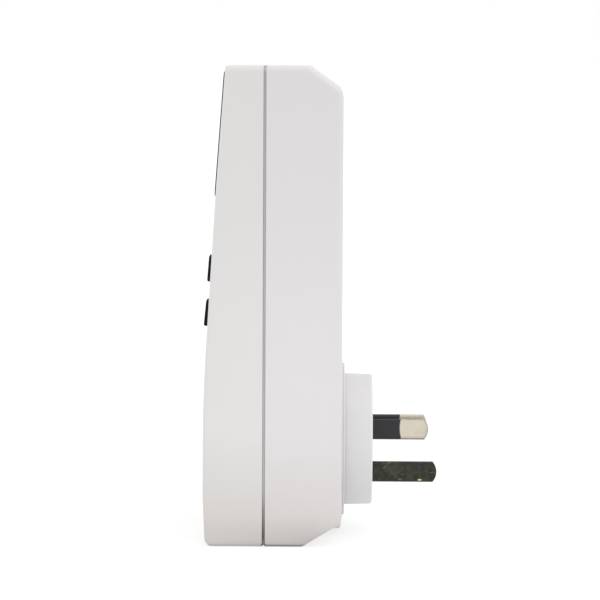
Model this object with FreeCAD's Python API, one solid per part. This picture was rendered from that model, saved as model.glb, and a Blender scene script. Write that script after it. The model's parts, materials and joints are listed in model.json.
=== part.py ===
"""Plug-in mains power meter with an AS/NZS 3112 plug behind and an outlet in front.

Frame, millimetres: the origin is the centre of the plug face that meets the wall,
+Y points along the blades into the wall, +Z is up and +X is right, seen from the front.
"""
import FreeCAD, Part
import math
import os

from FreeCAD import Placement, Rotation, Vector

# ---- driving dimensions -------------------------------------------------------------
HEIGHT = 145.1              # body, bottom to top
WIDTH = 62.0                # body, side to side
DEPTH = 41.95               # body, rear face to the deepest point of the front
REAR_Y = -9.6               # rear face, behind the plug face by the plug base's height
BOTTOM_Z = -28.9            # underside, below the plug's centre
WALL = 2.2                  # shell wall
TILT = 3.434                # lean of the front face from the vertical, degrees
BEND_RADIUS = 480.0         # soft bend where the front turns upright
BEND_HEIGHT = 44.8          # height above the underside where the two front planes cross
PANEL_LEAN = 0.8            # further lean of the front beside the display panel, degrees
SEAM_DEPTH = 23.5           # joint between the shells, in front of the rear face
SEAM_GAP = 0.7              # width of the groove along the joint
SEAM_GROOVE = 0.45          # depth of the groove
SEAM_ROUNDING = 0.25        # rounding of the groove's edges
SEAM_LIP = 1.0              # shell left outside the tongue
TONGUE = 1.1                # thickness of the rear shell's tongue
FRONT_EDGE = 1.1            # rounding down the sides of the front shell
FRONT_TOP_EDGE = 0.4        # rounding where the front meets the top
REAR_EDGE = 1.9             # rounding round the rear shell and of the body's long corners
FIT = 0.1                   # gap between pieces that fit into each other

BLADE_WIDTH = 6.35
BLADE_THICKNESS = 1.6
LINE_BLADE_LENGTH = 17.4    # active and neutral
EARTH_BLADE_LENGTH = 20.35
LINE_BLADE_X = 6.86         # active and neutral, each side of the centre
LINE_BLADE_Z = 3.96
LINE_BLADE_LEAN = 30.0      # degrees, the tops lean together
EARTH_BLADE_Z = -10.31
SLEEVE_LENGTH = 8.5
SLEEVE_HOLLOW = 0.4         # depth of the sleeve's hollow outer end
BLADE_TAIL_Y = -17.0

BOSS_RADIUS = 20.5
BOSS_FLANGE_RADIUS = 23.65
BOSS_NECK_RADIUS = 19.5
LAND_RADIUS = 28.0          # raised ground round the plug base
LAND_RISE = 0.4

SOCKET_RADIUS = 19.3
SLOT_WIDTH = 7.3
SLOT_THICKNESS = 2.2

PANEL_WIDTH = 55.0          # black display panel
PANEL_HEIGHT = 37.5
PANEL_RISE = 0.42
PANEL_CENTRE = 65.6         # up the sloping face from its foot
COLLAR_DEPTH = 2.0          # of the panel's collar, behind the front face
WINDOW_WIDTH = 41.0
WINDOW_HEIGHT = 24.0

BUTTON_WIDTH = 7.0
BUTTON_HEIGHT = 8.0
BUTTON_CORNER = 1.2
BUTTON_COLUMNS = (-16.5, 16.5)
BUTTON_ROWS = ((24.35, 1.15, 1.3), (10.75, 1.2, 1.5))   # centre, rise at top, rise at foot
BUTTON_GAP = 0.2

BOARD_THICKNESS = 1.6
DISPLAY_BOARD_FRONT = -8.1  # behind the front face
DISPLAY_BOARD_HALF_WIDTH = 22.5
POWER_BOARD_FRONT_Y = -16.0
POWER_BOARD_HALF_WIDTH = 25.5
POWER_BOARD_LOW = 56.0      # heights above the underside
POWER_BOARD_HIGH = 124.0

CASE_SCREWS = ((-26.2, 133.0), (26.2, 133.0), (-25.5, 6.8), (25.5, 6.8))
CASE_SCREW_SEAT_Y = -21.0
POWER_BOARD_SCREWS = ((-22.5, 60.0), (22.5, 60.0), (-22.5, 120.0), (22.5, 120.0))
DISPLAY_BOARD_SCREWS = ((-20.2, 3.4), (20.2, 3.4), (-20.2, 37.6), (20.2, 37.6))
INNER_SCREW_CIRCLE = 16.4   # plug base and contact carrier screws
INNER_SCREW_ANGLES = (30.0, 150.0, 270.0)

SEAM_Y = REAR_Y - SEAM_DEPTH
TOP_Z = BOTTOM_Z + HEIGHT
HALF_WIDTH = WIDTH / 2
MID_Z = BOTTOM_Z + HEIGHT / 2
FACE_FOOT = BEND_HEIGHT + BEND_RADIUS * math.tan(math.radians(TILT / 2))
FACE_FOOT_DEPTH = DEPTH - BEND_RADIUS * (1 - math.cos(math.radians(TILT)))
PANEL_FOOT = PANEL_CENTRE - PANEL_HEIGHT / 2
PANEL_FOOT_HEIGHT = FACE_FOOT + PANEL_FOOT * math.cos(math.radians(TILT))
PANEL_FOOT_DEPTH = DEPTH - (PANEL_FOOT_HEIGHT - BEND_HEIGHT) * math.tan(math.radians(TILT))
TOP_DEPTH = PANEL_FOOT_DEPTH - (HEIGHT - PANEL_FOOT_HEIGHT) * math.tan(math.radians(TILT + PANEL_LEAN))


# ---- frames ---------------------------------------------------------------------------
def on_front_face(shape):
    """Places a shape drawn with x right, y up the sloping face and z out of it."""
    foot = Vector(0, REAR_Y - FACE_FOOT_DEPTH, BOTTOM_Z + FACE_FOOT)
    return moved(shape, Placement(foot, Rotation(Vector(1, 0, 0), 90 - TILT)))


def on_panel(shape):
    """Places a shape drawn like those on the front face on the part that leans further."""
    hinge = Vector(0, PANEL_FOOT, 0)
    return on_front_face(moved(shape, Placement(Vector(), Rotation(Vector(1, 0, 0), -PANEL_LEAN), hinge)))


def upright(shape, x, y, z):
    """Places a shape drawn with x right, y up and z towards the front."""
    return moved(shape, Placement(Vector(x, y, z), Rotation(Vector(1, 0, 0), 90)))


def on_blade(shape, x, z, lean):
    """Places a shape drawn round the Y axis, blade width along Z, at one blade."""
    return moved(shape, Placement(Vector(x, 0, z), Rotation(Vector(0, 1, 0), lean)))


def on_power_board(shape, x, height):
    """Places a shape on the power board's front, at a height above the underside."""
    return upright(shape, x, POWER_BOARD_FRONT_Y, BOTTOM_Z + height)


def moved(shape, placement):
    copy = shape.copy()
    copy.Placement = placement.multiply(copy.Placement)
    return copy


# ---- simple shapes --------------------------------------------------------------------
def block(x0, x1, y0, y1, z0, z1):
    return Part.makeBox(x1 - x0, y1 - y0, z1 - z0, Vector(x0, y0, z0))


def plate(width, height, corner, low, high, x=0.0, y=0.0):
    """Flat plate centred on x, y, from z low to z high, with rounded corners."""
    body = block(x - width / 2, x + width / 2, y - height / 2, y + height / 2, low, high)
    if corner <= 0:
        return body
    uprights = [edge for edge in body.Edges if is_along(edge, Vector(0, 0, 1))]
    return body.makeFillet(corner, uprights)


def post(radius, low, high, x=0.0, y=0.0):
    """Round bar along z."""
    return Part.makeCylinder(radius, high - low, Vector(x, y, low))


def bar_y(radius, y0, y1, x=0.0, z=0.0):
    """Round bar along the row's Y axis."""
    return Part.makeCylinder(radius, y1 - y0, Vector(x, y0, z), Vector(0, 1, 0))


def is_along(edge, direction):
    if len(edge.Vertexes) < 2:
        return False
    run = edge.Vertexes[1].Point - edge.Vertexes[0].Point
    return run.cross(direction).Length < 1e-6


def joined(shapes):
    first, *rest = shapes
    return first.multiFuse(rest).removeSplitter() if rest else first


def group(shapes):
    return Part.makeCompound(list(shapes))


def rounded_outline(corners):
    """Closed wire in the YZ plane; each corner is (depth, height, radius), radius 0 for a sharp one."""
    points = [Vector(0, REAR_Y - depth, BOTTOM_Z + height) for depth, height, _ in corners]
    bends = []
    for index, (_, _, radius) in enumerate(corners):
        here = points[index]
        back = (points[index - 1] - here).normalize()
        ahead = (points[(index + 1) % len(points)] - here).normalize()
        half_angle = back.getAngle(ahead) / 2
        reach = radius / math.tan(half_angle)
        bisector = (back + ahead).normalize()
        middle = here + bisector * (radius / math.sin(half_angle) - radius)
        bends.append((here + back * reach, middle, here + ahead * reach, radius))
    edges = []
    for index, (start, middle, end, radius) in enumerate(bends):
        edges.append(Part.LineSegment(bends[index - 1][2], start).toShape())
        if radius > 0:
            edges.append(Part.Arc(start, middle, end).toShape())
    return Part.Wire(edges)


def screw(shank, length, head, head_height):
    """Pan head screw with a cross recess; the head's seat is z 0, the shank points down."""
    cap = post(head, 0, head_height)
    rims = [edge for edge in cap.Edges if edge.Closed and edge.CenterOfMass.z > head_height - 0.01]
    cap = cap.makeFillet(head_height * 0.45, rims)
    shaft = post(shank, 0.8 - length, 0)
    tip = Part.makeCone(shank * 0.3, shank, 0.8, Vector(0, 0, -length))
    body = joined([cap, shaft, tip])
    arm = head * 1.1
    recess = head_height * 0.55
    for width, height in ((arm, head * 0.28), (head * 0.28, arm)):
        body = body.cut(plate(width, height, 0, head_height - recess, head_height + 1))
    return body


# ---- casing -----------------------------------------------------------------------------
def side_outline(top_front_radius):
    return rounded_outline([
        (11.7, 0.0, 3.0),
        (DEPTH - 0.7, 0.0, 2.5),
        (DEPTH, 15.4, 60.0),
        (DEPTH, BEND_HEIGHT, BEND_RADIUS),
        (PANEL_FOOT_DEPTH, PANEL_FOOT_HEIGHT, BEND_RADIUS),
        (TOP_DEPTH, HEIGHT, top_front_radius),
        (10.2, HEIGHT, 2.0),
        (0.45, HEIGHT - 6.9, 2.0),
        (0.0, HEIGHT - 9.1, 2.0),
        (0.0, 7.1, 2.5),
    ])


def across(face, half_width):
    """Extrudes a face in the YZ plane to both sides."""
    face = face.copy()
    face.translate(Vector(-half_width, 0, 0))
    return face.extrude(Vector(2 * half_width, 0, 0))


def body_block(top_front_radius, edge_radius, y0, y1):
    """Stretch of the body from y0 to y1, solid, its edges and cut ends rounded."""
    body = across(Part.Face(side_outline(top_front_radius)), HALF_WIDTH)
    side_edges = [edge for edge in body.Edges if not is_along(edge, Vector(1, 0, 0))]
    body = body.makeFillet(edge_radius, side_edges)
    if top_front_radius == 0:
        top_edges = [edge for edge in body.Edges if is_along(edge, Vector(1, 0, 0))
                     and edge.CenterOfMass.y < SEAM_Y and edge.CenterOfMass.z > TOP_Z - 0.1]
        body = body.makeFillet(FRONT_TOP_EDGE, top_edges)
    body = body.common(front_view_block(0, REAR_EDGE, y0, y1))
    cut_y = y1 if y1 < REAR_Y else y0
    rim = [edge for edge in body.Edges
           if edge.BoundBox.YLength < 0.001 and abs(edge.CenterOfMass.y - cut_y) < 0.001]
    return body.makeFillet(SEAM_ROUNDING, rim)


def front_view_block(inset, corner, y0, y1):
    """Rounded rectangle of the body's front view, drawn in by inset."""
    block_shape = plate(WIDTH - 2 * inset, HEIGHT - 2 * inset, corner, 0, y1 - y0)
    return upright(block_shape, 0, y1, MID_Z)


def cavity():
    face = Part.Face(side_outline(3.0)).makeOffset2D(-WALL)
    return across(face, HALF_WIDTH - WALL)


def tongue_ring(outer_inset, inner_inset, y0, y1):
    outer = front_view_block(outer_inset, 1.2, y0, y1)
    return outer.cut(front_view_block(inner_inset, 0.8, y0 - 1, y1 + 1))


def front_shell():
    front_limit = REAR_Y - DEPTH - 5
    rim_y = SEAM_Y - SEAM_GAP / 2
    outer = body_block(0, FRONT_EDGE, front_limit, rim_y)
    shell = outer.cut(cavity())
    shell = joined([shell] + [front_case_post(x, height) for x, height in CASE_SCREWS]
                   + [display_board_post(x, y) for x, y in DISPLAY_BOARD_SCREWS])
    shell = shell.common(outer)
    shell = shell.cut(tongue_ring(SEAM_LIP, SEAM_LIP + TONGUE + 2 * FIT, rim_y - 3.0, rim_y + 1))
    for x, height in CASE_SCREWS:
        shell = shell.cut(bar_y(1.5, SEAM_Y - 11.5, SEAM_Y + 1, x, BOTTOM_Z + height))
    for x, y in DISPLAY_BOARD_SCREWS:
        shell = shell.cut(on_front_face(post(1.0, DISPLAY_BOARD_FRONT - 1, -3.4, x, y)))
    window = plate(PANEL_WIDTH - 4.0, PANEL_HEIGHT - 4.0, 1.5, -6, 2, 0, PANEL_CENTRE)
    shell = shell.cut(on_panel(window))
    for x, row in button_places():
        hole = plate(BUTTON_WIDTH + 2 * BUTTON_GAP, BUTTON_HEIGHT + 2 * BUTTON_GAP,
                     BUTTON_CORNER + BUTTON_GAP, -6, 3, x, row[0])
        shell = shell.cut(on_front_face(hole))
    return shell.cut(bar_y(SOCKET_RADIUS + 0.2, front_limit, SEAM_Y - 10))


def front_case_post(x, height):
    return bar_y(3.2, REAR_Y - DEPTH + 0.5, SEAM_Y - 0.1, x, BOTTOM_Z + height)


def display_board_post(x, y):
    return on_front_face(post(2.3, DISPLAY_BOARD_FRONT + 0.02, -1.5, x, y))


def rear_shell():
    rim_y = SEAM_Y + SEAM_GAP / 2
    solid = joined([body_block(2.5, REAR_EDGE, rim_y, REAR_Y + 1), plug_land()])
    shell = solid.cut(cavity())
    tongue_end = rim_y - SEAM_GAP - 2.8
    tongue = tongue_ring(SEAM_LIP + FIT, SEAM_LIP + TONGUE + FIT, tongue_end, rim_y + 1.5)
    groove_floor = tongue_ring(SEAM_GROOVE, SEAM_LIP + 0.5, rim_y - SEAM_GAP + 0.03, rim_y + 0.6)
    posts = [bar_y(3.9, SEAM_Y + 0.1, REAR_Y - 0.5, x, BOTTOM_Z + height) for x, height in CASE_SCREWS]
    posts += [bar_y(2.4, POWER_BOARD_FRONT_Y + BOARD_THICKNESS, REAR_Y - 1, x, BOTTOM_Z + height)
              for x, height in POWER_BOARD_SCREWS]
    posts = [one.common(solid) for one in posts]
    shell = joined([shell, tongue, groove_floor] + posts)
    for x, height in CASE_SCREWS:
        z = BOTTOM_Z + height
        shell = shell.cut(bar_y(2.9, CASE_SCREW_SEAT_Y, REAR_Y + 2, x, z))
        shell = shell.cut(bar_y(1.7, SEAM_Y - 5, CASE_SCREW_SEAT_Y + 1, x, z))
    for x, height in POWER_BOARD_SCREWS:
        shell = shell.cut(bar_y(1.0, POWER_BOARD_FRONT_Y, REAR_Y - 1.6, x, BOTTOM_Z + height))
    return shell.cut(bar_y(BOSS_NECK_RADIUS + 0.15, REAR_Y - 6, REAR_Y + 2))


def plug_land():
    """Raised round ground behind the plug, with a sloping rim."""
    rim_y = REAR_Y - 0.2
    drum = bar_y(LAND_RADIUS, REAR_Y - 8, rim_y)
    slope = Part.makeCone(LAND_RADIUS, LAND_RADIUS - 3.8, LAND_RISE + 0.2,
                          Vector(0, rim_y, 0), Vector(0, 1, 0))
    return joined([drum, slope])


# ---- plug -------------------------------------------------------------------------------
def blade_places():
    return (("active", -LINE_BLADE_X, LINE_BLADE_Z, LINE_BLADE_LEAN),
            ("neutral", LINE_BLADE_X, LINE_BLADE_Z, -LINE_BLADE_LEAN),
            ("earth", 0.0, EARTH_BLADE_Z, 0.0))


def inner_screw_places():
    for angle in INNER_SCREW_ANGLES:
        turn = math.radians(angle)
        yield INNER_SCREW_CIRCLE * math.cos(turn), INNER_SCREW_CIRCLE * math.sin(turn)


def blade_blank(length, tail_y):
    """Flat bar with an arched tip, its face edges bevelled over the outer part."""
    half = BLADE_WIDTH / 2
    shoulder = length - 1.2
    start = Vector(0, tail_y, -half)
    low = Vector(0, shoulder, -half)
    high = Vector(0, shoulder, half)
    end = Vector(0, tail_y, half)
    outline = Part.Wire([
        Part.LineSegment(start, low).toShape(),
        Part.Arc(low, Vector(0, length, 0), high).toShape(),
        Part.LineSegment(high, end).toShape(),
        Part.LineSegment(end, start).toShape(),
    ])
    bar = across(Part.Face(outline), BLADE_THICKNESS / 2)
    face_edges = [edge for edge in bar.Edges
                  if not is_along(edge, Vector(1, 0, 0)) and edge.BoundBox.YMax > tail_y + 0.1]
    return bar.makeChamfer(0.3, face_edges)


def sleeve_space():
    """Space round a blade's root that the insulation fills, hollow at its outer end."""
    half = BLADE_WIDTH / 2
    radius = (half ** 2 + SLEEVE_HOLLOW ** 2) / (2 * SLEEVE_HOLLOW)
    space = block(-2, 2, -2.5, SLEEVE_LENGTH + SLEEVE_HOLLOW + 0.2, -half - 1, half + 1)
    scoop = Part.makeCylinder(radius, 6, Vector(-3, SLEEVE_LENGTH + radius, 0), Vector(1, 0, 0))
    return space.cut(scoop)


def blade_core():
    return block(-0.5, 0.5, -3.0, SLEEVE_LENGTH + 1.5, -2.65, 2.65)


def line_blade(x, z, lean):
    blank = blade_blank(LINE_BLADE_LENGTH, BLADE_TAIL_Y)
    blade = joined([blank.cut(sleeve_space()), blade_core()])
    return on_blade(blade, x, z, lean)


def blade_sleeve(x, z, lean):
    blank = blade_blank(LINE_BLADE_LENGTH, BLADE_TAIL_Y)
    return on_blade(blank.common(sleeve_space()).cut(blade_core()), x, z, lean)


def earth_blade(x, z, lean):
    return on_blade(blade_blank(EARTH_BLADE_LENGTH, BLADE_TAIL_Y), x, z, lean)


def plug_base():
    flange_y = REAR_Y + LAND_RISE
    foot = Vector(0, flange_y, 0)
    boss = Part.makeCone(BOSS_RADIUS, BOSS_RADIUS - 0.25, -flange_y, foot, Vector(0, 1, 0))
    face_rim = [edge for edge in boss.Edges if edge.Closed and edge.CenterOfMass.y > -0.01]
    boss = boss.makeFillet(0.6, face_rim)
    flange = bar_y(BOSS_FLANGE_RADIUS, flange_y, flange_y + 0.6)
    neck = bar_y(BOSS_NECK_RADIUS, flange_y - 3.8, flange_y)
    base = joined([boss, flange, neck])
    flange_edges = [edge for edge in base.Edges
                    if edge.Closed and abs(edge.CenterOfMass.y - flange_y - 0.6) < 0.01]
    base = base.makeFillet(0.25, flange_edges)
    hollow = bar_y(17.2, flange_y - 5, -4.0)
    for _, x, z, lean in blade_places():
        hollow = hollow.cut(on_blade(block(-2.6, 2.6, -14, -3, -5.0, 5.0), x, z, lean))
    for x, z in inner_screw_places():
        hollow = hollow.cut(bar_y(2.7, -14, -3, x, z))
    base = base.cut(hollow)
    for _, x, z, lean in blade_places():
        base = base.cut(blade_passage(x, z, lean))
    for x, z in inner_screw_places():
        base = base.cut(bar_y(1.2, -14, -5.0, x, z))
    return base


def blade_passage(x, z, lean):
    half = BLADE_WIDTH / 2 + 0.03
    flat = BLADE_THICKNESS / 2 + 0.03
    return on_blade(block(-flat, flat, -50, 5, -half, half), x, z, lean)


def plug_clamp_plate():
    """Plate inside the rear shell that draws the plug base against it."""
    neck_end = REAR_Y + LAND_RISE - 3.8
    inner_wall = REAR_Y - WALL
    disc = bar_y(23.0, neck_end - 1.8, inner_wall - 0.02)
    disc = disc.cut(bar_y(BOSS_NECK_RADIUS + 0.3, neck_end - 0.02, inner_wall + 1))
    disc = disc.common(block(-30, 30, -30, 0, -18.8, 30))
    for _, x, z, lean in blade_places():
        disc = disc.cut(on_blade(block(-1.5, 1.5, -20, -5, -3.9, 3.9), x, z, lean))
    for x, z in inner_screw_places():
        disc = disc.cut(bar_y(1.5, -20, -5, x, z))
    return disc


def plug_clamp_screws():
    seat = REAR_Y + LAND_RISE - 5.6
    one = screw(1.15, 9.0, 2.3, 1.5)
    return group(upright(one, x, seat, z) for x, z in inner_screw_places())


# ---- outlet -----------------------------------------------------------------------------
SOCKET_FACE_Y = REAR_Y - DEPTH + 0.35
SOCKET_FLANGE_Y = REAR_Y - DEPTH + 2.75
SOCKET_BACK_Y = SOCKET_FLANGE_Y + 1.5
CARRIER_BACK_Y = -33.0


def socket_face():
    """Round outlet face with its three slots and three screw posts behind."""
    disc = bar_y(SOCKET_RADIUS, SOCKET_FACE_Y, SOCKET_BACK_Y)
    rim = [edge for edge in disc.Edges if edge.Closed and edge.CenterOfMass.y < SOCKET_FACE_Y + 0.01]
    disc = disc.makeFillet(0.5, rim)
    flange = bar_y(21.6, SOCKET_FLANGE_Y, SOCKET_BACK_Y)
    posts = [bar_y(2.6, SOCKET_BACK_Y - 0.5, SOCKET_BACK_Y + 7, x, z) for x, z in inner_screw_places()]
    face = joined([disc, flange] + posts)
    for _, x, z, lean in blade_places():
        slot = plate(SLOT_THICKNESS, SLOT_WIDTH, 0.5, 0, 10)
        slot = moved(slot, Placement(Vector(0, SOCKET_FACE_Y + 9, 0), Rotation(Vector(1, 0, 0), 90)))
        face = face.cut(on_blade(slot, x, z, lean))
    for x, z in inner_screw_places():
        face = face.cut(bar_y(1.2, SOCKET_BACK_Y + 0.5, SOCKET_BACK_Y + 8, x, z))
    return face


def contact_carrier():
    """Moulding behind the outlet face with a pocket for each contact."""
    front_y = SOCKET_BACK_Y + FIT
    drum = bar_y(21.0, front_y, CARRIER_BACK_Y)
    for _, x, z, lean in blade_places():
        drum = drum.cut(on_blade(block(-2.0, 2.0, front_y - 1, -35.0, -3.9, 3.9), x, z, lean))
        drum = drum.cut(on_blade(block(-1.2, 2.2, -36.0, -30.0, -3.3, 3.3), x, z, lean))
    for x, z in inner_screw_places():
        drum = drum.cut(bar_y(2.8, front_y - 1, SOCKET_BACK_Y + 7.2, x, z))
        drum = drum.cut(bar_y(1.5, front_y, -30, x, z))
    return drum


def carrier_screws():
    one = screw(1.15, 11.0, 2.3, 1.5)
    turn = Placement(Vector(0, 0, 0), Rotation(Vector(1, 0, 0), -90))
    return group(bar_moved(moved(one, turn), x, CARRIER_BACK_Y + 0.02, z)
                 for x, z in inner_screw_places())


def bar_moved(shape, x, y, z):
    return moved(shape, Placement(Vector(x, y, z), Rotation()))


def socket_contact(x, z, lean):
    """Folded spring clip that grips an inserted blade, with a solder tail behind."""
    mouth_y = SOCKET_BACK_Y + 0.4
    clip = block(-1.45, 1.45, mouth_y, -35.3, -3.1, 3.1)
    clip = clip.cut(block(-0.85, 0.85, mouth_y - 1, -35.9, -4, 4))
    tail = block(-0.8, 0.8, -35.5, -29.5, -2.6, 2.6)
    return on_blade(joined([clip, tail]), x, z, lean)


def busbar(x, z, lean, front_y, back_y):
    """Copper strip laid against the side of a blade's tail and a contact's tail."""
    return on_blade(block(0.85, 1.65, front_y, back_y, -2.4, 2.4), x, z, lean)


def current_shunt(x, z, lean):
    """Folded resistance strip between the active blade and the active busbar."""
    loop = block(0.85, 5.0, -24.0, -18.2, -2.2, 2.2)
    loop = loop.cut(block(1.7, 4.1, -23.1, -17, -3, 3))
    foot = block(0.85, 1.7, -18.3, BLADE_TAIL_Y + 1.8, -2.2, 2.2)
    return on_blade(joined([loop, foot]), x, z, lean)


# ---- display ----------------------------------------------------------------------------
def display_bezel():
    flange = plate(PANEL_WIDTH, PANEL_HEIGHT, 2.0, 0.02, PANEL_RISE, 0, PANEL_CENTRE)
    top_edges = [edge for edge in flange.Edges if edge.BoundBox.ZMin > PANEL_RISE - 0.01]
    flange = flange.makeFillet(0.25, top_edges)
    collar = plate(PANEL_WIDTH - 4.3, PANEL_HEIGHT - 4.3, 1.4, -COLLAR_DEPTH, 0.3, 0, PANEL_CENTRE)
    bezel = joined([flange, collar])
    bezel = bezel.cut(plate(WINDOW_WIDTH, WINDOW_HEIGHT, 1.0, -4, 2, 0, PANEL_CENTRE))
    seat = plate(WINDOW_WIDTH + 2.4, WINDOW_HEIGHT + 2.4, 1.6, -0.5, 2, 0, PANEL_CENTRE)
    return on_panel(bezel.cut(seat))


def display_lens():
    lens = plate(WINDOW_WIDTH + 2.2, WINDOW_HEIGHT + 2.2, 1.5, -0.48, PANEL_RISE - 0.1, 0, PANEL_CENTRE)
    return on_panel(lens)


def lcd_glass():
    return on_front_face(plate(44.0, 27.0, 0.3, -5.2, -3.0, 0, PANEL_CENTRE))


def lcd_frame():
    """Moulded holder that keeps the glass on the board."""
    frame = plate(45.4, 29.6, 1.0, DISPLAY_BOARD_FRONT + 0.02, -2.7, 0, PANEL_CENTRE)
    frame = frame.cut(plate(44.2, 27.2, 0.4, DISPLAY_BOARD_FRONT - 1, -2.95, 0, PANEL_CENTRE))
    return on_front_face(frame.cut(plate(42.4, 25.2, 0.5, -4, 0, 0, PANEL_CENTRE)))


def contact_strips():
    strips = [plate(40.0, 2.2, 0, DISPLAY_BOARD_FRONT + 0.04, -5.22, 0, PANEL_CENTRE + side * 12.2)
              for side in (-1, 1)]
    return group(on_front_face(strip) for strip in strips)


def light_guide():
    return on_front_face(plate(39.0, 20.5, 0.8, -7.7, -5.4, 0, PANEL_CENTRE))


def display_board():
    low = -0.4
    high = 81.6
    board = plate(2 * DISPLAY_BOARD_HALF_WIDTH, high - low, 1.0, DISPLAY_BOARD_FRONT - BOARD_THICKNESS,
                  DISPLAY_BOARD_FRONT, 0, (low + high) / 2)
    for x, y in DISPLAY_BOARD_SCREWS:
        board = board.cut(post(1.2, DISPLAY_BOARD_FRONT - 3, DISPLAY_BOARD_FRONT + 1, x, y))
    return on_front_face(board)


def display_board_screws():
    one = screw(0.95, 6.0, 1.9, 1.2)
    flipped = moved(one, Placement(Vector(0, 0, 0), Rotation(Vector(1, 0, 0), 180)))
    seat = DISPLAY_BOARD_FRONT - BOARD_THICKNESS - 0.02
    return group(on_front_face(bar_moved(flipped, x, y, seat)) for x, y in DISPLAY_BOARD_SCREWS)


def behind_display_board(shape, x, y):
    """Places a shape drawn standing on z 0 upon the board's rear side."""
    back = DISPLAY_BOARD_FRONT - BOARD_THICKNESS - 0.02
    return on_front_face(moved(shape, Placement(Vector(x, y, back), Rotation(Vector(1, 0, 0), 180))))


def controller_chip():
    body = plate(12.0, 12.0, 0.4, 0.15, 1.6)
    pins = []
    for index in range(11):
        offset = (index - 5) * 1.0
        pins.append(plate(14.0, 0.4, 0, 0, 0.3, 0, offset))
        pins.append(plate(0.4, 14.0, 0, 0, 0.3, offset, 0))
    return behind_display_board(joined([body] + pins), 0, 20)


def clock_crystal():
    can = Part.makeCylinder(1.0, 6.0, Vector(-3, 0, 1.05), Vector(1, 0, 0))
    return behind_display_board(can, 12, 28)


def backup_battery():
    cell = post(6.0, 0.4, 5.2)
    rims = [edge for edge in cell.Edges if edge.Closed]
    cell = cell.makeFillet(0.5, rims)
    tag = plate(15.5, 3.0, 0, 0, 0.4)
    return behind_display_board(joined([cell, tag]), -9, 52)


# ---- buttons ----------------------------------------------------------------------------
SWITCH_TOP = -4.6
CAP_FOOT = -3.2
CAP_FLANGE_TOP = -2.4
PLUNGER_RADIUS = 1.7


def button_places():
    for row in BUTTON_ROWS:
        for x in BUTTON_COLUMNS:
            yield x, row


def button_cap(x, row):
    """Key with a sloping top and a flange that holds it behind the shell."""
    centre, rise_top, rise_foot = row
    cap = plate(BUTTON_WIDTH, BUTTON_HEIGHT, BUTTON_CORNER, CAP_FOOT, 4.0, x, centre)
    slope = math.degrees(math.atan((rise_foot - rise_top) / BUTTON_HEIGHT))
    knife = block(-20, 20, -20, 20, 0, 10)
    middle_rise = (rise_top + rise_foot) / 2
    place = Placement(Vector(x, centre, middle_rise), Rotation(Vector(1, 0, 0), -slope))
    cap = cap.cut(moved(knife, place))
    top_edges = [edge for edge in cap.Edges if edge.BoundBox.ZMin > 0.5]
    cap = cap.makeFillet(0.45, top_edges)
    flange = plate(BUTTON_WIDTH + 1.6, BUTTON_HEIGHT + 1.6, 1.5, CAP_FOOT, CAP_FLANGE_TOP, x, centre)
    return on_front_face(joined([cap, flange]))


def button_plunger(x, row):
    return on_front_face(post(PLUNGER_RADIUS, SWITCH_TOP - 1.0, CAP_FOOT - 0.02, x, row[0]))


def switch_cases():
    cases = []
    for x, row in button_places():
        case = plate(6.0, 6.0, 0.4, DISPLAY_BOARD_FRONT + 0.02, SWITCH_TOP, x, row[0])
        case = case.cut(post(PLUNGER_RADIUS + 0.08, SWITCH_TOP - 1.9, SWITCH_TOP + 1, x, row[0]))
        cases.append(on_front_face(case))
    return group(cases)


# ---- power board ------------------------------------------------------------------------
def power_board():
    middle = (POWER_BOARD_LOW + POWER_BOARD_HIGH) / 2
    width = 2 * POWER_BOARD_HALF_WIDTH
    board = plate(width, POWER_BOARD_HIGH - POWER_BOARD_LOW, 1.0, -BOARD_THICKNESS, -0.02)
    for x, height in POWER_BOARD_SCREWS:
        board = board.cut(post(1.2, -3, 1, x, height - middle))
    return on_power_board(board, 0, middle)


def power_board_screws():
    one = screw(0.95, 4.6, 1.9, 1.2)
    return group(on_power_board(one, x, height) for x, height in POWER_BOARD_SCREWS)


def dropper_capacitor():
    return on_power_board(plate(18.0, 8.5, 0.8, 0, 14.5), -9.5, 108.0)


def smoothing_capacitor():
    can = post(4.5, 0, 13.0)
    top_rim = [edge for edge in can.Edges if edge.Closed and edge.CenterOfMass.z > 12.9]
    can = can.makeFillet(0.6, top_rim)
    groove = Part.makeTorus(4.75, 0.5, Vector(0, 0, 2.2))
    return on_power_board(can.cut(groove), 10.0, 108.0)


def varistor():
    disc = Part.makeCylinder(5.5, 4.2, Vector(-2.1, 0, 7.0), Vector(1, 0, 0))
    rims = [edge for edge in disc.Edges if edge.Closed]
    disc = disc.makeFillet(1.4, rims)
    legs = [post(0.4, 0, 3.0, 0, side * 2.5) for side in (-1, 1)]
    return on_power_board(joined([disc] + legs), -15.0, 70.0)


def lead_part(radius, length, lift, lead_radius):
    """Round component lying along x on bent leads."""
    body = Part.makeCylinder(radius, length, Vector(-length / 2, 0, lift), Vector(1, 0, 0))
    reach = length / 2 + 2.0
    leg_width = 2.4 * lead_radius
    rod = Part.makeCylinder(lead_radius, 2 * reach, Vector(-reach, 0, lift), Vector(1, 0, 0))
    legs = [plate(leg_width, leg_width, 0, 0, lift + leg_width / 2, side * reach) for side in (-1, 1)]
    return joined([body, rod] + legs)


def fuse_resistor():
    return on_power_board(lead_part(2.2, 11.0, 2.5, 0.4), -11.0, 92.0)


def rectifier_diodes():
    one = lead_part(1.3, 5.0, 1.6, 0.35)
    return group(on_power_board(one, 12.0, 86.0 + index * 3.6) for index in range(4))


def metering_chip():
    body = plate(15.4, 7.5, 0.2, 0.2, 2.4)
    pins = [plate(0.45, 10.3, 0, 0, 0.5, (index - 5.5) * 1.27, 0) for index in range(12)]
    return on_power_board(joined([body] + pins), 6.0, 72.0)


def meter_crystal():
    return on_power_board(plate(11.0, 4.4, 2.1, 0, 3.5), 6.0, 80.6)


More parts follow.
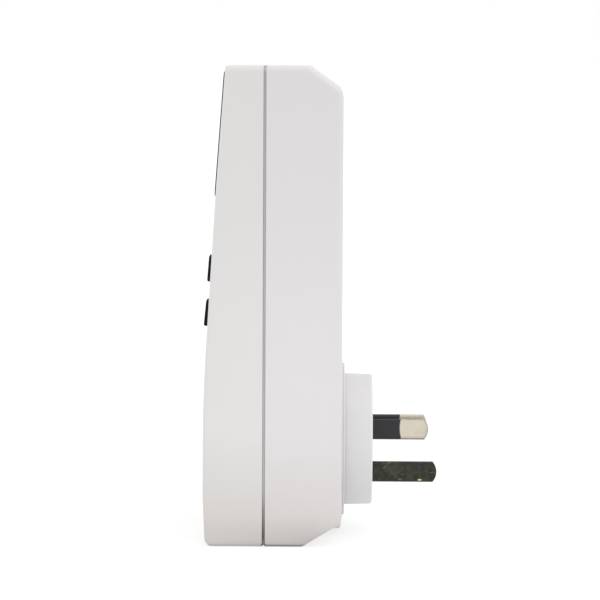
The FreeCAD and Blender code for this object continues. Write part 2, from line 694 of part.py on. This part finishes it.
def board_link():
    """Row of long header pins in its block, standing from the power board."""
    block_part = plate(2.54 * 6, 2.5, 0.2, 0, 2.5)
    pins = [post(0.32, 2.4, 20.5, (index - 2.5) * 2.54) for index in range(6)]
    return on_power_board(joined([block_part] + pins), 4.0, 62.0)


def sense_wire(x, z, board_x):
    """Insulated wire from a busbar up to the power board's lower edge."""
    y_low = -26.5
    y_high = POWER_BOARD_FRONT_Y - 0.9
    low = Vector(x, y_low, z)
    mid = Vector(board_x, y_low, 18.0)
    high = Vector(board_x, y_high, 27.0)
    end = Vector(board_x, y_high, 30.5)
    return rod_chain([low, mid, high, end], 0.8)


def rod_chain(points, radius):
    parts = []
    for start, stop in zip(points, points[1:]):
        run = stop - start
        parts.append(Part.makeCylinder(radius, run.Length, start, run))
        parts.append(Part.makeSphere(radius, stop))
    return joined(parts)


# ---- case screws ------------------------------------------------------------------------
def case_screws():
    one = screw(1.4, 22.0, 2.7, 2.0)
    turn = Placement(Vector(0, 0, 0), Rotation(Vector(1, 0, 0), -90))
    return group(bar_moved(moved(one, turn), x, CASE_SCREW_SEAT_Y + 0.02, BOTTOM_Z + height)
                 for x, height in CASE_SCREWS)


# ---- the whole object -------------------------------------------------------------------
def all_nodes():
    places = {name: (x, z, lean) for name, x, z, lean in blade_places()}
    nodes = {
        "front_shell": front_shell(),
        "rear_shell": rear_shell(),
        "plug_base": plug_base(),
        "plug_clamp_plate": plug_clamp_plate(),
        "plug_clamp_screws": plug_clamp_screws(),
        "active_blade": line_blade(*places["active"]),
        "neutral_blade": line_blade(*places["neutral"]),
        "earth_blade": earth_blade(*places["earth"]),
        "active_blade_sleeve": blade_sleeve(*places["active"]),
        "neutral_blade_sleeve": blade_sleeve(*places["neutral"]),
        "socket_face": socket_face(),
        "contact_carrier": contact_carrier(),
        "carrier_screws": carrier_screws(),
        "current_shunt": current_shunt(*places["active"]),
        "active_busbar": busbar(*places["active"], -34.0, -24.05),
        "neutral_busbar": busbar(*places["neutral"], -34.0, BLADE_TAIL_Y + 1.8),
        "earth_busbar": busbar(*places["earth"], -34.0, BLADE_TAIL_Y + 1.8),
        "active_sense_wire": sense_wire(-9.5, 9.2, -14.0),
        "neutral_sense_wire": sense_wire(9.0, 9.2, 14.0),
        "display_bezel": display_bezel(),
        "display_lens": display_lens(),
        "lcd_glass": lcd_glass(),
        "lcd_frame": lcd_frame(),
        "contact_strips": contact_strips(),
        "light_guide": light_guide(),
        "display_board": display_board(),
        "display_board_screws": display_board_screws(),
        "controller_chip": controller_chip(),
        "clock_crystal": clock_crystal(),
        "backup_battery": backup_battery(),
        "switch_cases": switch_cases(),
        "power_board": power_board(),
        "power_board_screws": power_board_screws(),
        "dropper_capacitor": dropper_capacitor(),
        "smoothing_capacitor": smoothing_capacitor(),
        "varistor": varistor(),
        "fuse_resistor": fuse_resistor(),
        "rectifier_diodes": rectifier_diodes(),
        "metering_chip": metering_chip(),
        "meter_crystal": meter_crystal(),
        "board_link": board_link(),
        "case_screws": case_screws(),
    }
    for name, (x, z, lean) in places.items():
        nodes[name + "_socket_contact"] = socket_contact(x, z, lean)
    for number, (x, row) in enumerate(button_places(), start=1):
        nodes[f"button_cap_{number}"] = button_cap(x, row)
        nodes[f"button_plunger_{number}"] = button_plunger(x, row)
    return nodes


os.makedirs("parts", exist_ok=True)
for name, shape in all_nodes().items():
    if not shape.isValid() or not shape.Solids:
        raise ValueError(f"{name} is not a valid solid")
    shape.exportStep(f"parts/{name}.step")
    print(f"{name}: {len(shape.Solids)} solid(s), {shape.Volume:.1f} mm3")
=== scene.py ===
"""Looks of the plug-in power meter: materials, small printed and display pieces, light, camera."""

import json
import math

import bmesh
import bpy
from mathutils import Matrix, Vector


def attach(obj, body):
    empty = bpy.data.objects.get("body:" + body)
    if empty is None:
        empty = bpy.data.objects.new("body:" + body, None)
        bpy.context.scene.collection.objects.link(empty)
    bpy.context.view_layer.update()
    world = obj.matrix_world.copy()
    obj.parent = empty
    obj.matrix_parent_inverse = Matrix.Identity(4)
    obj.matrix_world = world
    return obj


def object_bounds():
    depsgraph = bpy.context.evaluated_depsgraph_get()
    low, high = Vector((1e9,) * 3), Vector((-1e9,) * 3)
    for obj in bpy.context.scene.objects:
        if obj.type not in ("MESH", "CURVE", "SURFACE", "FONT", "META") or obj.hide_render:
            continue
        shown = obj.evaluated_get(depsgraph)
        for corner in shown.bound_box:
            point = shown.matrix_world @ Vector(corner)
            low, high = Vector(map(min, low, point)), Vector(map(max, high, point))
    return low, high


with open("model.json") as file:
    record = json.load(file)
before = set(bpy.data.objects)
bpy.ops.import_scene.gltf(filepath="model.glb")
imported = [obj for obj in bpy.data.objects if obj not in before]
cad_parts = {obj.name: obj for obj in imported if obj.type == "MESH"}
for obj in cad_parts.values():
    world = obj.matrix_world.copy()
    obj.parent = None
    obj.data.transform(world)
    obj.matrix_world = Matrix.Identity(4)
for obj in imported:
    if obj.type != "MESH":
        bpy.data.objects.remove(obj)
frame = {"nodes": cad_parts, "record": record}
cad_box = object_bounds()

MM = 0.001
FACE_TILT = math.radians(3.434)      # lean of the front face
FACE_OUT = Vector((0, -math.cos(FACE_TILT), math.sin(FACE_TILT)))
FACE_UP = Vector((0, math.sin(FACE_TILT), math.cos(FACE_TILT)))
FACE_RIGHT = Vector((1, 0, 0))

CAMERA_PLACE = Vector((0.8257, -0.0150, 0.1196))
CAMERA_YAW = math.radians(0.53)
CAMERA_PITCH = math.radians(-5.27)
CAMERA_ROLL = math.radians(0.30)
CAMERA_LENS = 159.7
SENSOR_WIDTH = 36.0

SEAM_Y = -33.1 * MM                  # middle of the groove between the shells
REAR_Y = -9.6 * MM                   # rear face of the casing
UNDERSIDE_Z = -28.9 * MM
GLINT_STRETCH = (1, 0.45, 1)        # the painted glint on the earth blade is longer along Y
GLINT_PLACE = (0.8 * MM, 6.8 * MM, -12.8 * MM)     # its centre, after that stretch

GRAIN_DEPTH = 0.02 * MM
EDGE_WEAR_RADIUS = 0.45 * MM
EDGE_SAMPLES = 4
FLAT_COSINE = 0.995                  # rounded against true normal, above which a face is flat


# ---- node helpers -----------------------------------------------------------------------
class Surface:
    """A material under construction: its Principled shader and shared noise helpers."""

    def __init__(self, name):
        self.material = bpy.data.materials.new(name)
        self.material.use_nodes = True
        self.nodes = self.material.node_tree.nodes
        self.links = self.material.node_tree.links
        self.shader = self.nodes["Principled BSDF"]
        self.coords = self.nodes.new("ShaderNodeTexCoord").outputs["Object"]

    def set(self, **values):
        """Sets plain values of the shader by short names."""
        names = {"metallic": "Metallic", "ior": "IOR", "specular": "Specular IOR Level",
                 "coat": "Coat Weight", "coat_roughness": "Coat Roughness",
                 "transmission": "Transmission Weight", "glow": "Emission Strength"}
        for key, value in values.items():
            self.shader.inputs[names[key]].default_value = value

    def along(self, axis):
        """Object coordinate along one axis, in metres."""
        split = self.nodes.new("ShaderNodeSeparateXYZ")
        self.links.new(self.coords, split.inputs["Vector"])
        return split.outputs[axis]

    def near(self, point, radius, axes=(1, 1, 1)):
        """1 at a point, fading to 0 at radius; axes left at 0 don't count."""
        kept = self.nodes.new("ShaderNodeVectorMath")
        kept.operation = "MULTIPLY"
        kept.inputs[1].default_value = axes
        self.links.new(self.coords, kept.inputs[0])
        distance = self.nodes.new("ShaderNodeVectorMath")
        distance.operation = "DISTANCE"
        distance.inputs[1].default_value = point
        self.links.new(kept.outputs["Vector"], distance.inputs[0])
        return self.spread(distance.outputs["Value"], 1.0, 0.0, 0.6 * radius, radius)

    def times(self, first, second):
        """Product of two values."""
        node = self.nodes.new("ShaderNodeMath")
        node.operation = "MULTIPLY"
        self.links.new(first, node.inputs[0])
        self.links.new(second, node.inputs[1])
        return node.outputs["Value"]

    def noise(self, scale, detail=2.0, stretch=(1, 1, 1)):
        """Noise value whose cells are about 1/scale metres across."""
        mapping = self.nodes.new("ShaderNodeMapping")
        mapping.inputs["Scale"].default_value = stretch
        self.links.new(self.coords, mapping.inputs["Vector"])
        texture = self.nodes.new("ShaderNodeTexNoise")
        texture.inputs["Scale"].default_value = scale
        texture.inputs["Detail"].default_value = detail
        self.links.new(mapping.outputs["Vector"], texture.inputs["Vector"])
        return texture.outputs["Fac"]

    def spread(self, value, low, high, start=0.3, end=0.7):
        """Maps a value between start and end to low and high."""
        node = self.nodes.new("ShaderNodeMapRange")
        node.inputs["From Min"].default_value = start
        node.inputs["From Max"].default_value = end
        node.inputs["To Min"].default_value = low
        node.inputs["To Max"].default_value = high
        self.links.new(value, node.inputs["Value"])
        return node.outputs["Result"]

    def blend(self, factor, first, second, mode="MIX"):
        """Mixes two colours, each a tuple or a socket, by a number or a socket."""
        node = self.nodes.new("ShaderNodeMix")
        node.data_type = "RGBA"
        node.blend_type = mode
        if isinstance(factor, float):
            node.inputs["Factor"].default_value = factor
        else:
            self.links.new(factor, node.inputs["Factor"])
        colour_inputs = [socket for socket in node.inputs if socket.type == "RGBA"]
        for socket, value in zip(colour_inputs, (first, second)):
            if isinstance(value, tuple):
                socket.default_value = (*value, 1.0)
            else:
                self.links.new(value, socket)
        return next(socket for socket in node.outputs if socket.type == "RGBA")

    def edges(self, radius, full=0.82):
        """1 on edges within radius, 0 on open faces.

        full is the cosine between the rounded and the true normal that counts as 1.
        """
        bevel = self.nodes.new("ShaderNodeBevel")
        bevel.samples = EDGE_SAMPLES
        bevel.inputs["Radius"].default_value = radius
        geometry = self.nodes.new("ShaderNodeNewGeometry")
        dot = self.nodes.new("ShaderNodeVectorMath")
        dot.operation = "DOT_PRODUCT"
        self.links.new(bevel.outputs["Normal"], dot.inputs[0])
        self.links.new(geometry.outputs["Normal"], dot.inputs[1])
        return self.spread(dot.outputs["Value"], 1.0, 0.0, full, FLAT_COSINE)

    def crevices(self, distance, deep=0.25, open_air=0.75):
        """1 deep in gaps, 0 in the open."""
        occlusion = self.nodes.new("ShaderNodeAmbientOcclusion")
        occlusion.samples = EDGE_SAMPLES
        occlusion.inputs["Distance"].default_value = distance
        return self.spread(occlusion.outputs["AO"], 1.0, 0.0, deep, open_air)

    def colour(self, socket):
        """Gives the shader its base colour."""
        self.links.new(socket, self.shader.inputs["Base Color"])

    def roughness(self, socket):
        """Gives the shader its roughness."""
        self.links.new(socket, self.shader.inputs["Roughness"])

    def bump(self, socket, depth, strength=1.0):
        """Raises the surface by depth where the value is 1."""
        node = self.nodes.new("ShaderNodeBump")
        node.inputs["Strength"].default_value = strength
        node.inputs["Distance"].default_value = depth
        self.links.new(socket, node.inputs["Height"])
        self.links.new(node.outputs["Normal"], self.shader.inputs["Normal"])


def tinted(colour, factor):
    """Colour made lighter or darker by a factor."""
    return tuple(min(1.0, channel * factor) for channel in colour)


# ---- materials --------------------------------------------------------------------------
def moulded_plastic(name, colour, roughness=0.42, grain=2600.0, specular=0.5, wear=0.06):
    """Moulded plastic: fine spark-eroded grain, slow tone drift, rubbed edges, painted shade in
    gaps.
    """
    surface = Surface(name)
    surface.set(specular=specular)
    drift = surface.spread(surface.noise(38.0, 3.0), 0.0, 1.0)
    tone = surface.blend(drift, tinted(colour, 0.985), tinted(colour, 1.012))
    worn = surface.blend(surface.edges(EDGE_WEAR_RADIUS), (0.0, 0.0, 0.0), (wear, wear, wear))
    lifted = surface.blend(1.0, tone, worn, "ADD")
    # painted shade: colour darkened where ambient occlusion finds gaps
    gap_shaded = surface.blend(surface.crevices(1.4 * MM), lifted, tinted(colour, 0.55))
    surface.colour(gap_shaded)
    surface.roughness(surface.spread(surface.noise(150.0, 4.0), roughness - 0.05, roughness + 0.06))
    surface.bump(surface.noise(grain, 2.0), GRAIN_DEPTH, 0.6)
    return surface.material


SHELL_FRONT = (0.626, 0.618, 0.616)
SHELL_REAR = (0.628, 0.608, 0.624)
PLUG_BASE_WHITE = (0.640, 0.632, 0.640)
SHELL_LOW_SHADE = (0.540, 0.512, 0.492)
SHELL_AGED = (0.612, 0.602, 0.588)
SHELL_RUBBED = (0.76, 0.755, 0.75)
SHELL_UNDER_SHADE = (0.42, 0.395, 0.38)
SHELL_BOTTOM_SHADOW = (0.055, 0.044, 0.038)
SHELL_GAP_SHADE = (0.42, 0.41, 0.40)
SEAM_SHADE = (0.012, 0.011, 0.010)


def shell_plastic(name):
    """White casing plastic: painted shade, darker and warmer towards the underside, worn at edges,
    painted shade in its joints.
    """
    surface = Surface(name)
    surface.set(specular=0.45)
    height = surface.along("Z")
    back = surface.along("Y")

    rear_half = surface.spread(back, 0.0, 1.0, SEAM_Y - 0.9 * MM, SEAM_Y + 0.1 * MM)
    tone = surface.blend(rear_half, SHELL_FRONT, SHELL_REAR)
    # painted shade: colour darker and warmer towards the bottom
    lower_shade = surface.spread(height, 1.0, 0.0, -26 * MM, 6 * MM)
    tone = surface.blend(lower_shade, tone, SHELL_LOW_SHADE)
    plug_base = surface.spread(back, 0.0, 1.0, REAR_Y, REAR_Y + 0.6 * MM)
    tone = surface.blend(plug_base, tone, PLUG_BASE_WHITE)
    drift = surface.spread(surface.noise(30.0, 3.0), 0.0, 0.35)
    tone = surface.blend(drift, tone, SHELL_AGED)

    patchy = surface.spread(surface.noise(300.0, 3.0), 0.1, 0.5)
    worn = surface.times(surface.edges(EDGE_WEAR_RADIUS), patchy)
    tone = surface.blend(worn, tone, SHELL_RUBBED)

    # painted shade: darker near the underside, more towards the rear, less at the plug
    near_underside = surface.spread(height, 1.0, 0.0, -29 * MM, -19 * MM)
    more_behind = surface.spread(back, 0.35, 1.0, -50 * MM, -22 * MM)
    not_at_plug = surface.spread(back, 1.0, 0.1, -18 * MM, -12 * MM)
    under_shade = surface.times(surface.times(near_underside, more_behind), not_at_plug)
    tone = surface.blend(under_shade, tone, SHELL_UNDER_SHADE)
    # painted shade in gaps, found by ambient occlusion
    tone = surface.blend(surface.crevices(1.2 * MM, 0.2, 0.9), tone, SHELL_GAP_SHADE)

    # painted shadow: dark band along the lowest millimetre, mostly on the rear shell
    lowest = surface.spread(height, 1.0, 0.0, UNDERSIDE_Z + 0.2 * MM, UNDERSIDE_Z + 1.0 * MM)
    mostly_rear = surface.spread(back, 0.17, 0.95, SEAM_Y - 0.9 * MM, SEAM_Y + 0.1 * MM)
    tone = surface.blend(surface.times(lowest, mostly_rear), tone, SHELL_BOTTOM_SHADOW)

    # painted shade in the groove between the shells, deeper towards the bottom
    beside_seam = surface.near((0, SEAM_Y, 0), 0.8 * MM, (0, 1, 0))
    seam_shade = surface.times(beside_seam, surface.crevices(1.2 * MM, 0.72, 0.93))
    more_below = surface.spread(height, 1.0, 0.3, -25 * MM, -12 * MM)
    surface.colour(surface.blend(surface.times(seam_shade, more_below), tone, SEAM_SHADE))
    surface.roughness(surface.spread(surface.noise(150.0, 4.0), 0.36, 0.48))
    surface.bump(surface.noise(2600.0, 2.0), GRAIN_DEPTH, 0.6)
    return surface.material


def gloss_black(name):
    """Polished black panel with faint wiping marks."""
    surface = Surface(name)
    surface.set(coat=0.3, coat_roughness=0.05, specular=0.35)
    haze = surface.noise(90.0, 5.0, (1.0, 1.0, 3.5))
    wear_and_glint = surface.edges(0.3 * MM)
    surface.colour(surface.blend(wear_and_glint, (0.012, 0.012, 0.013), (0.05, 0.05, 0.052)))
    surface.roughness(surface.spread(haze, 0.08, 0.20))
    surface.bump(surface.noise(240.0, 2.0), 0.004 * MM, 0.4)
    return surface.material


def metal(name, colour, roughness=0.28, along=(1.0, 0.06, 1.0), painted_edge_light=1.15):
    """Drawn or stamped metal, its scratches running along the stretch axis."""
    surface = Surface(name)
    surface.set(metallic=1.0)
    grain = surface.noise(5200.0, 4.0, along)
    clouds = surface.noise(170.0, 4.0)
    tone = surface.blend(surface.spread(clouds, 0.0, 1.0, 0.35, 0.72), colour, tinted(colour, 0.84))
    # rounded edges tinted by painted_edge_light: a painted highlight where it is above 1, a painted
    # dark line where it is below 1
    surface.colour(surface.blend(surface.edges(0.4 * MM, 0.94), tone, tinted(colour, painted_edge_light)))
    surface.roughness(surface.spread(grain, roughness - 0.08, roughness + 0.12))
    surface.bump(grain, 0.006 * MM, 0.5)
    return surface.material


def worn_black_metal(name):
    """Blackened blade: mottled, with scuffs and a small painted glint in brass colour."""
    surface = Surface(name)
    surface.set(metallic=1.0)
    grain = surface.noise(4200.0, 4.0, (1.0, 0.08, 1.0))
    mottle = surface.spread(surface.noise(420.0, 5.0), 0.0, 1.0, 0.42, 0.66)
    tone = surface.blend(mottle, (0.034, 0.035, 0.029), (0.060, 0.060, 0.048))
    scuffs = surface.spread(surface.noise(900.0, 3.0, (1.0, 0.35, 1.0)), 0.0, 0.7, 0.66, 0.74)
    tone = surface.blend(scuffs, tone, (0.20, 0.19, 0.15))
    tone = surface.blend(surface.edges(0.25 * MM), tone, (0.075, 0.076, 0.066))
    # painted glint: a small brass-coloured bright spot
    wear_and_glint = surface.near(GLINT_PLACE, 0.34 * MM, GLINT_STRETCH)
    tone = surface.blend(wear_and_glint, tone, (0.62, 0.50, 0.22))
    surface.colour(tone)
    surface.roughness(surface.spread(grain, 0.30, 0.50))
    surface.bump(grain, 0.006 * MM, 0.5)
    return surface.material


def clear_plastic(name):
    """Clear acrylic window with faint smears."""
    surface = Surface(name)
    surface.set(transmission=1.0, ior=1.49)
    surface.colour(surface.blend(surface.noise(60.0, 3.0), (0.97, 0.98, 0.98), (0.93, 0.95, 0.95)))
    surface.roughness(surface.spread(surface.noise(120.0, 4.0), 0.01, 0.05))
    return surface.material


def display_glass(name):
    """Grey-green reflective display under its polariser."""
    surface = Surface(name)
    surface.set(coat=0.3, coat_roughness=0.1)
    cloud = surface.noise(70.0, 3.0)
    cloudy = surface.spread(cloud, 0.0, 1.0)
    surface.colour(surface.blend(cloudy, (0.36, 0.40, 0.33), (0.40, 0.44, 0.36)))
    surface.roughness(surface.spread(surface.noise(400.0, 3.0), 0.30, 0.42))
    surface.bump(surface.noise(5200.0, 1.0), 0.004 * MM, 0.3)
    return surface.material


def circuit_board(name):
    """Solder mask over faint copper tracks."""
    surface = Surface(name)
    surface.set(coat=0.4, coat_roughness=0.15)
    waves = surface.nodes.new("ShaderNodeTexWave")
    waves.inputs["Scale"].default_value = 260.0
    waves.inputs["Distortion"].default_value = 6.0
    surface.links.new(surface.coords, waves.inputs["Vector"])
    tracks = surface.spread(waves.outputs["Fac"], 0.0, 1.0, 0.45, 0.55)
    surface.colour(surface.blend(tracks, (0.012, 0.11, 0.035), (0.02, 0.17, 0.055)))
    surface.roughness(surface.spread(surface.noise(300.0, 3.0), 0.3, 0.45))
    surface.bump(tracks, 0.03 * MM, 0.4)
    return surface.material


def slot_materials():
    """One material for each slot name of the record."""
    return {
        "shell_white": shell_plastic("shell_plastic"),
        "carrier_plastic": moulded_plastic("carrier_plastic", (0.50, 0.49, 0.46), 0.55),
        "sleeve_plastic": moulded_plastic("sleeve_plastic", (0.013, 0.013, 0.016), 0.40,
                                          specular=0.35, wear=0.0),
        "button_black": moulded_plastic("key_plastic", (0.004, 0.004, 0.005), 0.5,
                                        specular=0.12, wear=0.006),
        "plunger_plastic": moulded_plastic("plunger_plastic", (0.06, 0.06, 0.06), 0.5),
        "component_black": moulded_plastic("component_epoxy", (0.022, 0.022, 0.024), 0.6,
                                           wear=0.02),
        "diffuser": moulded_plastic("light_guide_plastic", (0.80, 0.82, 0.80), 0.35),
        "strip_rubber": moulded_plastic("strip_rubber", (0.24, 0.24, 0.27), 0.7),
        "capacitor_box": moulded_plastic("capacitor_plastic", (0.52, 0.33, 0.05), 0.3),
        "capacitor_can": moulded_plastic("capacitor_sleeve", (0.015, 0.022, 0.075), 0.25),
        "varistor_blue": moulded_plastic("varistor_lacquer", (0.03, 0.12, 0.36), 0.3, grain=900.0),
        "resistor_body": moulded_plastic("resistor_lacquer", (0.25, 0.36, 0.33), 0.4),
        "wire_red": moulded_plastic("red_wire_insulation", (0.42, 0.02, 0.015), 0.35),
        "wire_black": moulded_plastic("black_wire_insulation", (0.015, 0.015, 0.015), 0.35),
        "panel_black": gloss_black("panel_gloss_black"),
        "clear_lens": clear_plastic("window_acrylic"),
        "lcd": display_glass("display_glass"),
        "board": circuit_board("solder_mask"),
        # blade edges darkened: painted dark line along the edges
        "bright_metal": metal("blade_nickel", (0.65, 0.595, 0.495), 0.30, painted_edge_light=0.4),
        "dark_metal": worn_black_metal("blade_dark"),
        "can_metal": metal("can_steel", (0.62, 0.62, 0.61), 0.25),
        "copper": metal("tinned_copper", (0.62, 0.34, 0.22), 0.3),
        "brass": metal("contact_brass", (0.70, 0.52, 0.26), 0.25),
        "screw_steel": metal("screw_zinc", (0.50, 0.50, 0.50), 0.32, (1, 1, 1)),
    }


def dress_frame(materials):
    """Gives every piece of the frame the material of its slot."""
    slot_of = {entry["node"]: entry["material_slot"] for entry in frame["record"]["subparts"]}
    for node, obj in frame["nodes"].items():
        for holder in obj.material_slots:
            holder.material = materials[slot_of[node]]


# ---- small pieces on the sloping face -----------------------------------------------------
FRONTWARD = 0.98            # cosine to the front face's normal above which a face counts as front
SAME_PLANE = 0.99995        # cosine between normals above which two faces count as one plane
NEAR_TOP = 0.25 * MM


def face_plane(node):
    """Centre and normal of a node's foremost flat area on the front side."""
    mesh = frame["nodes"][node].data
    flats = [poly for poly in mesh.polygons if poly.normal.dot(FACE_OUT) > FRONTWARD]
    top = max(poly.center.dot(FACE_OUT) for poly in flats)
    near = [poly for poly in flats if top - poly.center.dot(FACE_OUT) < NEAR_TOP]
    largest = max(near, key=lambda poly: poly.area)
    same = [poly for poly in near if poly.normal.dot(largest.normal) > SAME_PLANE]
    area = sum(poly.area for poly in same)
    centre = sum((poly.center * poly.area for poly in same), Vector()) / area
    return centre, largest.normal.copy()


def prism(bm, outline, origin, right, up, out, low, high):
    """Closed prism of a flat outline, given as (right, up) points in metres."""
    def ring(height):
        return [bm.verts.new(origin + right * a + up * b + out * height) for a, b in outline]
    foot = ring(low)
    head = ring(high)
    bm.faces.new(head)
    bm.faces.new(list(reversed(foot)))
    count = len(outline)
    for index in range(count):
        after = (index + 1) % count
        bm.faces.new((foot[index], foot[after], head[after], head[index]))


def piece_from(bm, name, material, body):
    """Object made from a closed mesh, riding a body and given one material."""
    bmesh.ops.recalc_face_normals(bm, faces=bm.faces)
    mesh = bpy.data.meshes.new(name)
    bm.to_mesh(mesh)
    bm.free()
    obj = bpy.data.objects.new(name, mesh)
    bpy.context.collection.objects.link(obj)
    mesh.materials.append(material)
    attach(obj, body)
    return obj


DIGIT_SEGMENTS = {"0": "abcdef", "1": "bc", "2": "abdeg", "3": "abcdg", "5": "acdfg", "7": "abc"}

# digits; then in mm the row's height above the glass's centre, digit width and height, stroke
DISPLAY_ROWS = (
    ("1200", 7.6, 3.0, 5.0, 0.6),
    ("2305", -0.6, 4.9, 8.2, 0.95),
    ("0075", -8.4, 3.0, 5.0, 0.6),
)
DIGIT_PITCH = 1.55          # of the digit width


def segment_outline(segment, width, height, stroke):
    """Bevelled bar of one digit segment, as points about the digit's centre."""
    gap = stroke * 0.12
    half_w = (width - stroke) / 2
    half_h = (height - stroke) / 2
    across = {"a": half_h, "g": 0.0, "d": -half_h}
    if segment in across:
        y = across[segment]
        reach = half_w - gap
        inner = reach - stroke / 2
        return [(-reach, y), (-inner, y + stroke / 2), (inner, y + stroke / 2),
                (reach, y), (inner, y - stroke / 2), (-inner, y - stroke / 2)]
    x = half_w if segment in "bc" else -half_w
    middle = half_h / 2 if segment in "bf" else -half_h / 2
    reach = half_h / 2 - gap
    inner = reach - stroke / 2
    return [(x, middle - reach), (x + stroke / 2, middle - inner), (x + stroke / 2, middle + inner),
            (x, middle + reach), (x - stroke / 2, middle + inner), (x - stroke / 2, middle - inner)]


def display_digits():
    """Seven-segment digits lying on the display glass, lit and unlit segments apart."""
    centre, out = face_plane("lcd_glass")
    lit = bmesh.new()
    unlit = bmesh.new()
    for digits, height, width, tall, stroke in DISPLAY_ROWS:
        pitch = width * DIGIT_PITCH
        for index, digit in enumerate(digits):
            x = (index - (len(digits) - 1) / 2) * pitch
            origin = centre + FACE_RIGHT * x * MM + FACE_UP * height * MM
            for segment in "abcdefg":
                bar = segment_outline(segment, width, tall, stroke)
                outline = [(a * MM, b * MM) for a, b in bar]
                target = lit if segment in DIGIT_SEGMENTS[digit] else unlit
                prism(target, outline, origin, FACE_RIGHT, FACE_UP, out, -0.02 * MM, 0.05 * MM)
    dark = ink("display_ink", (0.02, 0.022, 0.02))
    piece_from(lit, "display_digits_lit", dark, "casing")
    faint = ink("display_ghost", (0.31, 0.345, 0.28))
    piece_from(unlit, "display_digits_unlit", faint, "casing")


def ink(name, colour):
    """Thin printed or liquid-crystal film."""
    surface = Surface(name)
    fibres = surface.spread(surface.noise(3200.0, 2.0), 0.0, 1.0)
    surface.colour(surface.blend(fibres, colour, tinted(colour, 1.12)))
    surface.roughness(surface.spread(surface.noise(600.0, 2.0), 0.42, 0.55))
    return surface.material


def polygon(sides, radius, turn=0.0):
    angles = [turn + 2 * math.pi * k / sides for k in range(sides)]
    return [(radius * math.cos(angle), radius * math.sin(angle)) for angle in angles]


def key_symbols():
    """Generic symbol printed on each key."""
    up = math.pi / 2
    symbols = {1: polygon(28, 1.15), 2: polygon(3, 1.5, up),
               3: polygon(4, 1.5, up / 2), 4: polygon(3, 1.5, -up)}
    print_white = ink("key_print", (0.70, 0.70, 0.68))
    for number, outline in symbols.items():
        centre, out = face_plane(f"button_cap_{number}")
        up_axis = out.cross(FACE_RIGHT).normalized()
        bm = bmesh.new()
        points = [(a * MM, b * MM) for a, b in outline]
        prism(bm, points, centre, FACE_RIGHT, up_axis, out, -0.05 * MM, 0.03 * MM)
        piece_from(bm, f"key_symbol_{number}", print_white, f"button_{number}")


# ---- stage --------------------------------------------------------------------------------
def make_floor():
    """White paper under the meter, partly lit from itself so that it stays white."""
    bpy.ops.mesh.primitive_plane_add(size=60.0, location=(0, 0, cad_box[0][2]))
    floor = bpy.context.object
    floor.name = "floor"
    surface = Surface("floor_paper")
    surface.set(specular=0.0, glow=0.70)
    surface.shader.inputs["Emission Color"].default_value = (1.0, 1.0, 1.0, 1.0)
    surface.colour(surface.blend(surface.noise(6.0, 2.0), (0.31, 0.31, 0.31), (0.33, 0.33, 0.33)))
    surface.roughness(surface.spread(surface.noise(20.0), 0.85, 0.95))
    floor.data.materials.append(surface.material)


def make_world():
    world = bpy.data.worlds.new("studio")
    bpy.context.scene.world = world
    world.use_nodes = True
    background = world.node_tree.nodes["Background"]
    background.inputs["Color"].default_value = (1.0, 1.0, 1.0, 1.0)
    background.inputs["Strength"].default_value = 1.0


def add_lamp(name, kind, energy, turn, place=(0, 0, 0)):
    """Lamp of a kind; turn gives its rotation about X, Y and Z in degrees."""
    data = bpy.data.lights.new(name, kind)
    data.energy = energy
    lamp = bpy.data.objects.new(name, data)
    lamp.rotation_euler = [math.radians(angle) for angle in turn]
    lamp.location = place
    bpy.context.collection.objects.link(lamp)
    return lamp


def make_light():
    overhead = add_lamp("overhead", "SUN", 0.9, (-30, 6, 0))
    overhead.data.angle = math.radians(60)
    front = add_lamp("front", "SUN", 0.35, (68, 0, 0))
    front.data.angle = math.radians(25)
    side_panel = add_lamp("side_panel", "AREA", 0.012, (0, 90, 0), (0.135, -0.02, 0.006))
    side_panel.data.size = 0.06
    side_panel.visible_camera = False


def make_camera():
    """Camera on the +X side, looking almost along -X."""
    forward = Vector((-math.cos(CAMERA_YAW) * math.cos(CAMERA_PITCH),
                      -math.sin(CAMERA_YAW) * math.cos(CAMERA_PITCH), math.sin(CAMERA_PITCH)))
    right = Vector((-math.sin(CAMERA_YAW), math.cos(CAMERA_YAW), 0))
    up = right.cross(forward)
    turn = Matrix((right, up, -forward)).transposed() @ Matrix.Rotation(CAMERA_ROLL, 3, "Z")
    data = bpy.data.cameras.new("camera")
    data.sensor_width = SENSOR_WIDTH
    data.lens = CAMERA_LENS
    camera = bpy.data.objects.new("camera", data)
    camera.matrix_world = Matrix.Translation(CAMERA_PLACE) @ turn.to_4x4()
    bpy.context.collection.objects.link(camera)
    bpy.context.scene.camera = camera


bpy.context.scene.view_settings.view_transform = "Standard"
make_camera()
dress_frame(slot_materials())
display_digits()
key_symbols()
make_floor()
make_world()
make_light()
